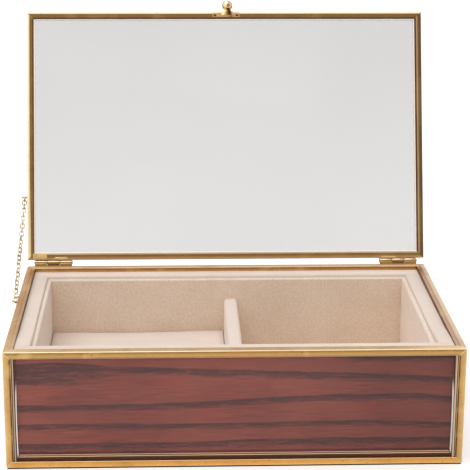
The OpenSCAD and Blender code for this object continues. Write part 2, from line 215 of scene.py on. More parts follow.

# %% [markdown]
# Product photographs of brass and glass are lit from all round, with one large soft
# source above. A world of even light does the first job and a sun with a very wide
# disc does the second, with one long lamp that puts a line of light along the bars.
# The background is white because the world and the floor are white where the
# camera, a reflection or the glass looks at them, and not because more light is used.

# %% Light, floor and background
def seen_directly(recipe):
    """1 for rays from the camera, from a reflection or through glass."""
    rays = recipe.node("ShaderNodeLightPath").socket.node.outputs
    camera_ray, glossy, through = [Value(recipe, rays[n]) for n in ("Is Camera Ray", "Is Glossy Ray", "Is Transmission Ray")]
    return camera_ray.most(glossy).most(through)


world = bpy.data.worlds.new("studio")
bpy.context.scene.world = world
world.use_nodes = True
sky = Recipe(world.node_tree)
soft_light = sky.node("ShaderNodeBackground", values=[(1.0, 0.985, 0.965, 1), 0.62])
white_wall = sky.node("ShaderNodeBackground", values=[(1, 1, 1, 1), 1.0])
either = sky.node("ShaderNodeMixShader", values=[seen_directly(sky), soft_light, white_wall])
world_end = world.node_tree.nodes.new("ShaderNodeOutputWorld")
world.node_tree.links.new(either.socket, world_end.inputs["Surface"])


def lamp(name, kind, strength, place, towards, **settings):
    light = bpy.data.lights.new(name, kind)
    light.energy = strength
    for setting, value in settings.items():
        setattr(light, setting, value)
    holder = bpy.data.objects.new(name, light)
    holder.location = place
    holder.rotation_euler = (Vector(towards) - Vector(place)).to_track_quat("-Z", "Y").to_euler()
    bpy.context.scene.collection.objects.link(holder)


lamp("soft_window", "SUN", 1.3, (-0.35, 0.12, 1.5), (0, 0, 0), angle=radians(60), color=(1, 0.985, 0.965))
lamp("front_strip", "AREA", 0.9, (-0.35, -1.0, 0.9), (0, 0, 0.05), shape="RECTANGLE", size=1.2, size_y=0.3)

bed = bmesh.new()
bmesh.ops.create_grid(bed, x_segments=2, y_segments=2, size=8)
bmesh.ops.translate(bed, verts=bed.verts, vec=(0, 0, -0.00002))
floor_mesh = bpy.data.meshes.new("floor")
bed.to_mesh(floor_mesh)
bed.free()
floor = bpy.data.objects.new("floor", floor_mesh)
bpy.context.scene.collection.objects.link(floor)
paper, card = finish("white_card")
spot = card.place()
fx, fy, fz = card.parts(spot)
# Inside the box's footprint the floor is painted near black and gets no white lift: a painted contact shadow, seen in
# the gap under the brass.
painted_floor_shadow = (1 - abs(fx).rise(half_w - 0.6 * MM, half_w - 0.2 * MM)) * (1 - abs(fy).rise(half_d - 0.6 * MM, half_d - 0.2 * MM))
grain = card.cloud(spot, 40, 2)
pale = card.mix(grain, (0.80, 0.80, 0.80, 1), (0.82, 0.82, 0.82, 1))
matt = card.node("ShaderNodeBsdfDiffuse", values=[card.mix(painted_floor_shadow, pale, (0.03, 0.02, 0.015, 1))])
lift = card.node("ShaderNodeEmission", values=[(1, 1, 1, 1), seen_directly(card) * (1 - painted_floor_shadow) * 0.40])
card.node_out(card.node("ShaderNodeAddShader", values=[matt, lift]))
floor_mesh.materials.append(paper)
bpy.context.scene.view_settings.view_transform = "Standard"

# %% [markdown]
# The frame is folded sheet brass that was toned brown and rubbed back, so its outer
# corners are pale and shiny, the middle of each band is tan, and brown is left where
# the cloth did not reach, along the inner edges. The shine on the rubbed bevels is
# partly wear and partly a painted highlight, and the dark on the inner lips is partly
# toning and partly painted shade, less of it on the right rim. The place of a point in
# the band is its distance from the nearest outer corner of the box. On a box that is the
# middle one of the three distances to its sides, ends and top or bottom, so no
# unwrapping is needed and the pattern sits the same on every bar.

# %% Toned brass of the frame
def middle_of_three(a, b, c):
    return a.least(b).most(a.most(b).least(c))


def toned_brass(recipe, where, from_corner, along, rough, soot_and_shade, wear_and_highlight, blotch=1.0, dull=None):
    """Adds mottling, worn corners with a painted highlight, spots and scratches to a band colour, and dark toning with
    painted shade in the grooves.
    """
    patches = recipe.cloud(where, 42, 3, 0.6, 0.4)
    small = recipe.cloud(where, 260, 4, 0.65)
    spots = recipe.cloud(where, 900, 2, 0.5).rise(0.66, 0.74)
    worn_and_highlit = recipe.attribute("worn") * wear_and_highlight
    colour = recipe.mix(patches.rise(0.50, 0.66) * 0.34 * blotch, from_corner, tone(182, 128, 84))
    colour = recipe.mix(patches.rise(0.46, 0.32) * 0.28 * blotch, colour, tone(228, 196, 132))
    colour = recipe.dimmed(colour, 0.86 + small * 0.28)
    colour = recipe.mix(spots * 0.55, colour, tone(92, 62, 38))
    # The bevels are lightened: partly real wear, partly a painted highlight.
    colour = recipe.mix(worn_and_highlit * 0.55, colour, tone(252, 236, 196))
    # The grooves are darkened: partly dark toning, partly painted shade.
    colour = recipe.mix(soot_and_shade, colour, tone(78, 46, 27))
    brushed = recipe.cloud(where.scaled(*along), 1200, 2)
    height = brushed * 0.3 + small * 0.5 + patches
    recipe.surface(
        Base_Color=colour,
        Metallic=1 - (soot_and_shade * 0.8 if dull is None else (soot_and_shade * 0.8).most(dull)),
        Roughness=rough + patches * 0.12 + small * 0.06 - worn_and_highlit * 0.06 + soot_and_shade * 0.35,
        Normal=recipe.bump(height, 0.00012, 0.6),
    )


brass_frame, r = finish("brass_frame")
where = r.place()
x, y, z = [part / MM for part in r.parts(where)]
facing = r.parts(r.facing())
wobble = (r.cloud(where, 90, 3, 0.6) - 0.5) * 0.10
sides = half_w / MM - abs(x)
ends = half_d / MM - abs(y)
from_top = rim_top / MM - z
inset = middle_of_three(sides, ends, from_top.least(z - brass_foot / MM)) / 10
on_rim = (sides.most(ends) - from_top).rise(-0.05, 0.05) * z.rise(30, 31)
rim_band = inset.ramp(
    (0.0, tone(246, 222, 178)), (0.035, tone(238, 206, 154)), (0.06, tone(142, 102, 52)), (0.10, tone(168, 126, 70)),
    (0.18, tone(190, 150, 88)), (0.29, tone(200, 158, 100)), (0.345, tone(170, 126, 84)), (0.40, tone(104, 72, 44)))
post_band = inset.ramp(
    (0.0, tone(236, 208, 166)), (0.05, tone(222, 186, 136)), (0.12, tone(218, 174, 114)), (0.24, tone(208, 162, 100)),
    (0.315, tone(194, 150, 92)), (0.345, tone(112, 76, 40)), (0.44, tone(84, 54, 30)))
on_sill = (sides.most(ends) - (z - brass_foot / MM)).rise(-0.05, 0.05)
post_band = r.dimmed(post_band, 0.84 - x.rise(110, 122) * 0.06)
post_band = r.mix(on_sill, post_band, r.mix(1, post_band, (1.30, 1.10, 0.72, 1), "MULTIPLY"))
upright = r.mix(on_rim, post_band, r.dimmed(rim_band, 0.86))
end_top = inset.ramp((0.0, tone(236, 222, 194)), (0.06, tone(222, 192, 148)), (0.44, tone(220, 186, 140)), (0.54, tone(198, 164, 120)))
rear_top = (inset + wobble * 0.3).ramp(
    (0.0, tone(240, 222, 192)), (0.05, tone(190, 160, 118)), (0.20, tone(184, 152, 108)), (0.29, tone(240, 210, 164)), (0.54, tone(242, 210, 162)))
end_top = r.mix(y.rise(60, 70), end_top, rear_top)
side_top = (inset + wobble).ramp(
    (0.0, tone(226, 204, 178)), (0.05, tone(192, 162, 130)), (0.15, tone(190, 153, 114)), (0.28, tone(194, 152, 108)),
    (0.33, tone(158, 114, 76)), (0.375, tone(196, 156, 120)), (0.48, tone(192, 156, 122)), (0.54, tone(150, 112, 80)))
side_top = r.mix(x.rise(0, 10) * (1 - inset.rise(0.18, 0.34)) * 0.7, side_top, tone(228, 206, 178))
side_top = r.mix((y * -1).rise(30, 76) * x.rise(10, 0) * 0.6, side_top, tone(220, 198, 166))
side_top = r.mix(1 - x.rise(-10, 10), side_top, r.mix(1, side_top, (0.98, 0.90, 0.72, 1), "MULTIPLY"))
on_a_side = (ends - sides).rise(-0.2, 0.2)
band = r.mix(abs(facing[2]).rise(0.5, 0.8), upright, r.mix(on_a_side, end_top, side_top))
# The inner faces of the lips get dark toning and painted shade, less of it on the right rim; the painted highlight on
# the bevels stops at the inner edges.
lip = inset.rise(0.50, 0.53) * (1 - abs(facing[2]).rise(0.5, 0.8))
rear_lip = (facing[1] * -1).rise(0.5, 0.8) * y.rise(60, 70)
band = r.mix(rear_lip, band, (from_top / 10 + wobble).ramp((0.0, tone(178, 132, 80)), (0.06, tone(156, 110, 60)), (0.15, tone(184, 140, 92)), (0.24, tone(216, 178, 140))))
toned_brass(r, where, band, (0.2, 0.2, 1), 0.26, lip * (1 - rear_lip) * (0.8 - x.rise(0, 60) * 0.35), 1 - inset.rise(0.44, 0.50), 1.0, y.rise(68, 71) * facing[2].rise(0.5, 0.8) * 0.9)
print("brass_frame has", len(brass_frame.node_tree.nodes), "nodes")

# %% [markdown]
# A bar from the CAD has knife edges, and nothing catches light like a real rounded
# edge. The measured bar's mesh is a heap of loose triangles, so we copy it, merge its
# corners, dissolve the flat seams and bevel what is left. The bevel's own faces are
# marked with a number called "worn", which the brass reads to show wear and a painted
# highlight there.

# %% Rounding the bars
def merged(node):
    shape = bmesh.new()
    shape.from_mesh(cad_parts[node].data)
    bmesh.ops.remove_doubles(shape, verts=shape.verts, dist=1e-6)
    bmesh.ops.dissolve_limit(shape, angle_limit=radians(0.5), verts=shape.verts, edges=shape.edges)
    return shape


def rounded(shape, width, segments=3, sharper_than=30):
    worn = shape.faces.layers.float.get("worn") or shape.faces.layers.float.new("worn")
    corners = [e for e in shape.edges if len(e.link_faces) == 2 and e.calc_face_angle() > radians(sharper_than)]
    made = bmesh.ops.bevel(
        shape, geom=corners, offset=width, offset_type="OFFSET", affect="EDGES",
        segments=segments, profile=0.5, material=-1, clamp_overlap=True)
    for face in made["faces"]:
        face[worn] = 1.0
    return shape


def settle(name, shape, body, slot, material, *replaced, smooth=35, even=False):
    """Turns a finished shape into a piece that rides on its body."""
    mesh = bpy.data.meshes.new(name)
    shape.to_mesh(mesh)
    shape.free()
    for face in mesh.polygons:
        face.use_smooth = True
    mesh.set_sharp_from_angle(angle=radians(smooth))
    mesh.materials.append(material)
    thing = bpy.data.objects.new(name, mesh)
    bpy.context.scene.collection.objects.link(thing)
    if even:
        thing.modifiers.new("even_normals", "WEIGHTED_NORMAL").keep_sharp = True
    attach(thing, body)
    if replaced:
        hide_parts(*replaced)
    return thing


frame_bars = [f"{bar}_{side}" for bar in ("rim", "sill") for side in ("front", "back", "left", "right")]
frame_bars += [f"post_{end}_{side}" for end in ("front", "back") for side in ("left", "right")]
for bar in frame_bars:
    settle(f"brass_{bar}", rounded(merged(bar), 0.22 * MM), "box", "brass_frame", brass_frame, bar, smooth=50, even=True)
print(len(frame_bars), "bars of the frame rounded by 0.22 mm")

# %% [markdown]
# The lid's channel is the same brass, but it leans back and faces the dark side of the
# room, so its bands are painted in deeper colours for that shade: lit copies on the left
# and top rails, and shaded copies on the right and bottom rails. The lid stands open in
# this view, so its own three directions are turned with it: along the hinge, up the
# pane, and through the pane. The distances are worked out from those.

# %% Bronze channel of the lid
lid_open = radians(107.8)
hinge_line = Vector((0, 79.95 * MM, 69.2 * MM))
lid_up = Vector((0, -cos(lid_open), sin(lid_open)))
lid_out = Vector((0, sin(lid_open), cos(lid_open)))


def on_lid(x_mm, y_mm, z_mm):
    """A point of the closed lid, carried to where the open lid holds it."""
    across, high = y_mm * MM - hinge_line.y, z_mm * MM - hinge_line.z
    return hinge_line + Vector((x_mm * MM, 0, 0)) + across * -lid_up + high * lid_out


lid_foot = on_lid(0, half_d / MM, 68.3)
lid_reach, lid_thick = 2 * half_d / MM, 4.6
brass_lid, r = finish("brass_lid")
where = r.place()
sides = half_w / MM - abs(r.parts(where)[0]) / MM
climb = (where.dot(lid_up) - lid_foot.dot(lid_up)) / MM
through = (where.dot(lid_out) - lid_foot.dot(lid_out)) / MM
inset = middle_of_three(sides, climb.least(lid_reach - climb), through.least(lid_thick - through))
wobble = (r.cloud(where, 70, 3, 0.6) - 0.5) * 0.2
# The left is the lit side: the left and top rails get painted light, the right and bottom rails painted shade.
left = (r.parts(where)[0] * -1).rise(-0.001, 0.001)
on_side_rail = (climb.least(lid_reach - climb) - sides).rise(-0.1, 0.1)
high_up = climb.rise(60, 62)
# The pale outer edge is painted wider on the left rail, more towards its lower end, and on the top rail.
painted_highlight_widening = left * on_side_rail * (1.0 + 0.6 * climb.rise(55, 8)) + high_up * (1 - on_side_rail) * 0.5
painted_lit_band = ((inset - painted_highlight_widening + wobble) / 10).ramp(
    (0.0, tone(252, 234, 194)), (0.045, tone(242, 218, 172)), (0.075, tone(172, 138, 90)), (0.11, tone(132, 98, 56)),
    (0.17, tone(148, 110, 64)), (0.23, tone(140, 104, 62)), (0.265, tone(96, 68, 40)), (0.29, tone(50, 34, 18)))
top_painted_light_band = ((inset - high_up * 0.5 + wobble) / 10).ramp(
    (0.0, tone(252, 234, 194)), (0.045, tone(236, 208, 166)), (0.075, tone(150, 112, 66)), (0.11, tone(136, 100, 58)),
    (0.20, tone(150, 114, 72)), (0.27, tone(134, 102, 68)), (0.31, tone(104, 80, 56)))
right_painted_shade_band = ((inset + wobble) / 10).ramp(
    (0.0, tone(132, 108, 82)), (0.06, tone(100, 76, 50)), (0.14, tone(112, 84, 56)), (0.22, tone(136, 102, 68)),
    (0.26, tone(176, 140, 100)), (0.295, tone(206, 170, 126)), (0.335, tone(122, 92, 58)), (0.37, tone(80, 58, 38)))
foot_painted_shade_band = ((inset + wobble) / 10).ramp(
    (0.0, tone(180, 150, 120)), (0.06, tone(172, 136, 98)), (0.14, tone(166, 126, 80)), (0.22, tone(142, 104, 62)),
    (0.27, tone(120, 88, 54)), (0.32, tone(150, 122, 88)), (0.355, tone(204, 182, 152)))
side_painted_light_and_shade_band = r.mix(left, right_painted_shade_band, painted_lit_band)
band = r.mix(on_side_rail, r.mix(high_up, foot_painted_shade_band, top_painted_light_band), side_painted_light_and_shade_band)
# The inner part of each rail is painted darker by its own amount, as painted shade.
drop = r.mix(on_side_rail, r.mix(high_up, (0.14, 0.14, 0.14, 1), (0.29, 0.29, 0.29, 1)), r.mix(left, (0.18, 0.18, 0.18, 1), (0.26, 0.26, 0.26, 1)))
band = r.dimmed(band, 1 - r.parts(drop)[0] * inset.rise(0.5, 1.2))
facing_us = abs(r.facing().dot(lid_out)).rise(0.4, 0.8)
# The bevels' painted highlight is strong on the lit rails and weak on the others; the channel sides get painted shade.
painted_highlight_side = r.mix(on_side_rail, high_up, left)
toned_brass(r, where, band, (0.2, 1, 1), 0.3, inset.rise(3.5, 3.8) * (1 - facing_us * 0.5) * on_side_rail.most(high_up), painted_highlight_side * 0.9 + 0.1, 0.25)
for side in ("front", "back", "left", "right"):
    settle(f"brass_lid_rail_{side}", rounded(merged(f"lid_rail_{side}"), 0.3 * MM, sharper_than=40), "lid", "brass_frame", brass_lid, f"lid_rail_{side}", smooth=50, even=True)
print("the open lid leans back", round(107.8 - 90, 1), "degrees")

# %% [markdown]
# The panes are thin clear glass with ground edges. Real refraction would need light
# traced through every pane to reach the wood behind it, so the panes are mostly
# see-through by their alpha instead, with a true glossy surface over them. Their edges
# are where glass is seen at all: the ground border is paler and less clear, and a
# painted line of light runs just inside the brass, made to glow by a weak emission. The
# standing panes also carry one thin painted glint, and the lid's pane a painted grey
# reflection of the room.

# %% Glass
def clear_glass(name, border, border_colour, painted_glint, grey_veil, grey_veil_colour, painted_glow_share):
    """Clear in the middle, with a coloured line by the brass and one thin painted glint, both given a painted glow,
    over a grey veil.
    """
    material, recipe = finish(name)
    recipe_where = recipe.place()
    haze = recipe.cloud(recipe_where, 9, 2)
    ground = recipe.attribute("worn")
    rim_line = border(recipe)
    painted_glint_mask = painted_glint(recipe)
    colour = recipe.mix(rim_line.least(1), grey_veil_colour, border_colour)
    # The painted glint and the ground edges are whitened.
    colour = recipe.mix((painted_glint_mask + ground).least(1), colour, tone(250, 246, 242))
    see = recipe.node("ShaderNodeLayerWeight", values=[0.25], out="Facing")
    alpha = (grey_veil(recipe) + haze * 0.03 + see * see * 0.25 + rim_line * 0.9 + painted_glint_mask * 0.8 + ground * 0.4).least(0.95)
    # A painted glow: the glint and the border emit a little light, though they are no lamp.
    painted_glow = recipe.mix((painted_glint_mask + rim_line * painted_glow_share).least(1), (0, 0, 0, 1), tone(255, 244, 232))
    recipe.surface(
        Base_Color=colour, Roughness=0.04 + haze * 0.05, IOR=1.5, Alpha=alpha, Normal=recipe.bump(haze, 0.0002, 0.2),
        Emission_Color=painted_glow, Emission_Strength=0.42)
    return material


def wall_place(recipe):
    """How far along its wall a point is, and how high, in millimetres."""
    px, py, pz = recipe.parts(recipe.place())
    nx, ny, nz = recipe.parts(recipe.facing())
    long_wall = abs(ny).rise(0.4, 0.6)
    along = (abs(px) * long_wall + (abs(py) + (half_w - half_d)) * (1 - long_wall)) / MM
    return along, pz / MM


def wall_border(recipe):
    along, high = wall_place(recipe)
    ragged = (recipe.cloud(recipe.place(), 120, 2) - 0.5) * 0.5
    # A warm ground-edge line beside each post and over the sill, which also glows a little by the painted glow.
    side_line = (along + ragged * 0.3).line(119.95, 0.26, 0.16)
    # The line is painted brighter on the right side, as painted light.
    side_line = side_line * (0.8 + 0.2 * recipe.parts(recipe.place())[0].rise(-0.001, 0.001))
    foot_line = (high + ragged * 0.6).line(6.85, 0.16, 0.18)
    return side_line.most(foot_line * (1 - along.rise(117.5, 118.5)))


def wall_painted_glint(recipe):
    along, high = wall_place(recipe)
    # A painted glint of light, bowed a little and faded out at both ends.
    bow = (high - 26) * (high - 26) * 0.0006
    fade = high.rise(5, 8) * (1 - high.rise(42, 54))
    return (along + bow).line(118.75, 0.10, 0.12) * fade


wall_glass = clear_glass("wall_glass", wall_border, tone(250, 208, 166), wall_painted_glint, lambda recipe: recipe.cloud(recipe.place(), 6) * 0.04, tone(120, 112, 108), 0.12)


def lid_place(recipe):
    where = recipe.place()
    climb = (where.dot(lid_up) - lid_foot.dot(lid_up)) / MM
    return (half_w / MM - abs(recipe.parts(where)[0]) / MM).least(climb.least(lid_reach - climb)), climb


def lid_border(recipe):
    return lid_place(recipe)[0].line(4.3, 0.45, 0.25)


def lid_painted_reflection(recipe):
    """A painted reflection of the grey room on the pane, a little stronger towards its top."""
    return 0.204 + lid_place(recipe)[1] * 0.0003


lid_glass = clear_glass("lid_glass", lid_border, tone(255, 246, 238), lambda recipe: recipe.attribute("worn") * 0.1, lid_painted_reflection, tone(64, 64, 70), 1.0)


def pane(node, material, body, slot, back_off):
    """A bevelled pane, a hair thinner than its slot so that no face is shared."""
    shape = rounded(merged(node), 0.3 * MM, 2)
    low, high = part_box(node)
    middle = (low + high) / 2
    if back_off:
        for v in shape.verts:
            v.co = middle + Vector((v.co[i] - middle[i]) * (1 - 0.16 * MM / (high[i] - low[i])) for i in range(3))
    return settle(f"pane_{node}", shape, body, slot, material, node, smooth=30, even=True)


for side in ("front", "back", "left", "right"):
    pane(f"glass_{side}", wall_glass, "box", "wall_glass", True)
pane("lid_glass", lid_glass, "lid", "lid_glass", False)
print("five panes with ground edges")

# %% [markdown]
# Behind the four standing panes is a red-brown veneer. Its figure is a few dark bands
# of close growth lines that run the length of the wall and wander up and down, over
# fine straight fibres. Each band is written as its own gentle curve, because a noise
# texture alone never gives bands that run the whole length. The wandering comes from
# a stretched noise that bends all of them.

# %% Wood veneer
wood_veneer, r = finish("wood_veneer")
where = r.place()
x, y, z = r.parts(where)
nx, ny, nz = r.parts(r.facing())
long_wall = abs(ny).rise(0.4, 0.6)
run = (x * long_wall + y * (1 - long_wall)) / MM
bend = (r.cloud(where.scaled(1, 1, 6), 14, 2) - 0.5) * 1.5 + (r.cloud(where.scaled(1, 1, 3), 80, 2) - 0.5) * 1.0
high = z / MM + bend
ragged = r.cloud(where.scaled(0.06, 0.06, 1), 900, 3, 0.6)
patchy = r.cloud(where.scaled(1, 1, 2), 22, 2)


def band(top, depth, strength):
    """1 just under a band's sharp upper line, fading out below it."""
    under = top - high
    return under.rise(-0.35, 0.3) * (1 - under * under / (depth * depth)).most(0) * strength


at_left = 1 - run.rise(-84, -52)
near = band(55.4 - run * 0.038 + run.line(-92, 6, 20) * 1.3 - run.rise(85, 118) * 0.8, 5.3, 1.0)
near = near.most(band(55.4 - run * 0.025, 10.4, 1.0) * at_left)
near = near.most(band(51.4, 4.6, 1.05) * (1 - run.rise(-98, -62)))
near = near.most(band(36.0 + run.rise(-60, 60) * 4.8 - run.rise(98, 118) * 1.6, 4.9, 1.0))
near = near.most(band(24.7 + run.line(58, 10, 30) * 0.9 - run.rise(90, 118) * 0.8, 4.6, 0.98))
near = near.most(band(13.4 + run.rise(-30, 20) * 1.7, 5.0, 1.0))
near = near.most(band(13.0, 9.0, 0.66) * (1 - run.rise(-60, -10)))
near = near.most(band(9.0, 4.0, 0.7) * run.rise(55, 95))
near = near.most(band(63.2, 4.6, 1.0) * run.rise(40, 78))
streaks = r.cloud(where.scaled(0.07, 0.07, 1), 1250, 4, 0.76)
hairs = r.cloud(where.scaled(0.13, 0.13, 1), 2500, 3, 0.7)
dark = ((streaks - 0.5) * 3.0 + (hairs - 0.5) * 2.2 + near).rise(0.42, 0.90)
lines = r.cloud(where.scaled(0.035, 0.035, 1), 1500, 3, 0.7)
pores = r.cloud(where.scaled(0.09, 0.09, 1), 3800, 1).rise(0.64, 0.74)
wood = r.mix(patchy.rise(0.3, 0.75), tone(164, 97, 88), tone(146, 85, 80))
wood = r.mix(ragged.rise(0.4, 0.72) * 0.5, wood, tone(180, 106, 92))
red = r.cloud(where.scaled(0.22, 0.22, 1), 280, 2)
wood = r.mix(red.rise(0.5, 0.68) * 0.45, wood, tone(174, 92, 80))
wood = r.mix((near * 1.4).least(1) * 0.40, wood, tone(122, 78, 76))
wood = r.mix(dark * 0.86, wood, tone(94, 72, 72))
wood = r.dimmed(wood, (0.56 + lines * 0.88) * (1 - run.rise(20, 110) * 0.26))
wood = r.mix(pores * 0.35, wood, tone(84, 54, 48))
wall_end = run.math("ABSOLUTE") + (half_w - half_d) / MM * (1 - long_wall)
low_down = z / MM
# A painted dark line of shade just above the sill.
wood = r.mix(low_down.line(7.9, 0.4, 0.5) * 0.55, wood, tone(78, 46, 38))
# The wood is painted darker towards each post, as painted shade.
wood = r.mix(wall_end.rise(117.8, 118.4) * 0.55, wood, tone(92, 56, 48))
# Below the sill's edge the wood is painted brown, standing for the brass channel in shade and reflection.
wood = r.mix(1 - low_down.rise(6.4, 6.8), wood, r.mix(ragged, tone(132, 82, 48), tone(104, 60, 32)))
# Right at the posts it is painted near black, as painted shade in the gap.
wood = r.mix(wall_end.rise(119.2, 119.6) * 0.85, wood, tone(70, 42, 30))
r.surface(Base_Color=wood, Roughness=0.42 + ragged * 0.15, Specular_IOR_Level=0.15, Normal=r.bump(lines + pores * -0.6, 0.00005, 0.6))
for side in ("front", "back", "left", "right"):
    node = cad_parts[f"veneer_{side}"]
    node.data.materials.clear()
    node.data.materials.append(wood_veneer)
print("wood_veneer has", len(wood_veneer.node_tree.nodes), "nodes")

# %% [markdown]
# Cream velvet covers the lining, the tray and the pad. It is matt, brightens at
# grazing angles where the pile is seen edge on, and carries cloudy marks where the
# nap was pressed one way or the other. A sheen layer gives the edge brightness, two
# noises give the marks and the fibres, and a fine bump breaks up the flat walls.

# %% Velvet
def velvet(name, light, deep, drawn, grainy):
    """A pile fabric; drawn stretches the fibres along the wall they hang on."""
    material, recipe = finish(name)
    spot = recipe.place()
    pressed = recipe.cloud(spot, 38, 2, 0.5, 0.4)
    nap = recipe.cloud(spot.scaled(*drawn), 900, 3, 0.7, 0.6)
    fibre = recipe.cloud(spot, 3200, 2, 0.7)
    colour = recipe.mix(pressed.rise(0.3, 0.7) * 0.5 + nap.rise(0.38, 0.62) * 0.5 * grainy, deep, light)
    colour = recipe.dimmed(colour, 1 - 0.17 * grainy + nap * 0.28 * grainy + fibre * 0.06)
    if grainy == 1:
        # Faces turned left, right or up are painted lighter and cooler, as painted light.
        left_facing_painted_light = (recipe.parts(recipe.facing())[0] * -1).rise(0.5, 0.9)
        colour = recipe.mix(left_facing_painted_light, colour, recipe.mix(1, colour, (1.15, 1.18, 1.28, 1), "MULTIPLY"))
        right_facing_painted_light = recipe.parts(recipe.facing())[0].rise(0.5, 0.9)
        colour = recipe.mix(right_facing_painted_light, colour, recipe.mix(1, colour, (1.01, 1.05, 1.13, 1), "MULTIPLY"))
        upward_painted_light = recipe.parts(recipe.facing())[2].rise(0.2, 0.7)
        colour = recipe.mix(upward_painted_light, colour, recipe.mix(1, colour, (1.05, 1.10, 1.16, 1), "MULTIPLY"))
    if name == "lining_velvet":
        # The lining is painted lighter at its front and back ends, and a little darker again in front, as painted light
        # and shade.
        end_painted_light = abs(recipe.parts(spot)[1]).rise(0.062, 0.067)
        colour = recipe.mix(end_painted_light, colour, recipe.mix(1, colour, (1.09, 1.09, 1.08, 1), "MULTIPLY"))
        front_painted_shade = recipe.parts(spot)[1].rise(-0.062, -0.067)
        colour = recipe.mix(front_painted_shade, colour, recipe.mix(1, colour, (0.94, 0.92, 0.90, 1), "MULTIPLY"))
    recipe.surface(
        Base_Color=colour, Roughness=0.92, Specular_IOR_Level=0.1, Sheen_Weight=0.3, Sheen_Roughness=0.45,
        Sheen_Tint=(1, 0.95, 0.9, 1), Normal=recipe.bump(nap * 0.8 + fibre * 0.2, 0.0005, 0.2 + 0.6 * grainy))
    return material


lining_velvet = velvet("lining_velvet", tone(239, 224, 212), tone(231, 214, 202), (1, 1, 0.6), 0.35)
tray_velvet = velvet("tray_velvet", tone(240, 222, 204), tone(230, 209, 189), (1, 1, 0.7), 1.0)
divider_velvet = velvet("divider_velvet", tone(240, 227, 217), tone(234, 219, 208), (1, 1, 0.7), 0.35)
pad_velvet = velvet("pad_velvet", tone(238, 225, 216), tone(231, 216, 206), (0.5, 1, 1), 0.3)
print("three velvets")

# %% [markdown]
# The lining is board wrapped in velvet, one board to a wall, with mitred ends that
# meet in a faint diagonal seam. Each board starts as a cube, is cut at 45 degrees by
# two planes, and gets a wide bevel on the edge that the hand meets. Cutting its long
# edges into short pieces then lets a slow noise move them by a tenth of a millimetre,
# because cloth over board is never ruler straight.

# %% Lining boards
def wrapped_board(low, high, mitre_in, top_inner, top_outer, wander, step=4 * MM):
    """A velvet-covered board along X, its inner side towards +Y, with its corners cut at 45 degrees."""
    board = bmesh.new()
    bmesh.ops.create_cube(board, size=1)
    size, middle = high - low, (high + low) / 2
    bmesh.ops.scale(board, verts=board.verts, vec=size)
    bmesh.ops.translate(board, verts=board.verts, vec=middle)
    if mitre_in:
        for sign in (-1, 1):
            corner = Vector((low.x if sign < 0 else high.x, low.y, 0))
            cut = bmesh.ops.bisect_plane(
                board, geom=[*board.verts, *board.edges, *board.faces], plane_co=corner,
                plane_no=(sign, 1, 0), clear_outer=True)
            rim = [e for e in cut["geom_cut"] if isinstance(e, bmesh.types.BMEdge)]
            bmesh.ops.contextual_create(board, geom=rim)
    worn = board.faces.layers.float.new("worn")

    def long_edges(inner):
        return [
            e for e in board.edges
            if abs(e.verts[0].co.x - e.verts[1].co.x) > 0.5 * size.x
            and min(v.co.z for v in e.verts) > high.z - 1e-6
            and (sum(v.co.y for v in e.verts) / 2 > middle.y) == inner]

    for inner, radius in ((True, top_inner), (False, top_outer)):
        bmesh.ops.bevel(board, geom=long_edges(inner), offset=radius, offset_type="OFFSET", affect="EDGES", segments=6, profile=0.5, material=-1)
    bmesh.ops.recalc_face_normals(board, faces=board.faces)
    ends = [e for e in board.edges if len(e.link_faces) == 2 and e.calc_face_angle() > radians(35) and abs(e.verts[0].co.x - e.verts[1].co.x) < 0.2 * size.x]
    bmesh.ops.bevel(board, geom=ends, offset=0.3 * MM, offset_type="OFFSET", affect="EDGES", segments=2, profile=0.5, material=-1, clamp_overlap=True)
    long_ones = [e for e in board.edges if abs(e.verts[0].co.x - e.verts[1].co.x) > 0.5 * size.x]
    bmesh.ops.subdivide_edges(board, edges=long_ones, cuts=int(size.x / step), use_grid_fill=True)
    for v in board.verts:
        if v.co.z > low.z + 1e-6:
            sway = noise.noise_vector(v.co * 38 + Vector((7, 3, 1))) + 0.4 * noise.noise_vector(v.co * 140)
            v.co += Vector((0, sway.y, sway.z)) * wander
    return board


def stand_along(shape, side):
    """Turns a board made for the front wall to the wall it belongs to."""
    turns = {"front": 0, "left": -90, "back": 180, "right": 90}
    bmesh.ops.rotate(shape, verts=shape.verts, cent=(0, 0, 0), matrix=Matrix.Rotation(radians(turns[side]), 3, "Z"))
    return shape


def raised_in_front(shape, foot, top):
    """The lining stands a little higher along the front, and its side boards climb to meet it."""
    for v in shape.verts:
        climb = min(max((-v.co.y / MM - 30) / 34, 0), 1)
        v.co.z += 1.45 * MM * climb * climb * (3 - 2 * climb) * (v.co.z - foot) / (top - foot)
    return shape


lining_low, lining_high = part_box("lining_front")
for side in ("front", "back", "left", "right"):
    wide = side in ("front", "back")
    outer_y = lining_low.y if wide else -lining_high.x
    half_run = lining_high.x if wide else -lining_low.y
    low = Vector((-half_run, outer_y, lining_low.z))
    high = Vector((half_run, outer_y + (lining_high.y - lining_low.y) + 0.42 * MM, lining_high.z))
    shape = wrapped_board(low, high, True, 1.1 * MM, 0.3 * MM, 0.10 * MM)
    shape = raised_in_front(stand_along(shape, side), low.z, high.z)
    settle(f"velvet_lining_{side}", shape, "box", "lining_velvet", lining_velvet, f"lining_{side}", smooth=60)
print("lining stands", round(lining_high.z / MM, 1), "mm high")

# %% [markdown]
# The tray is four thin covered boards with a full round on top, a floor, and a
# divider across the middle. The boards are made with the same helper as the lining;
# only the sizes and the rounding change.

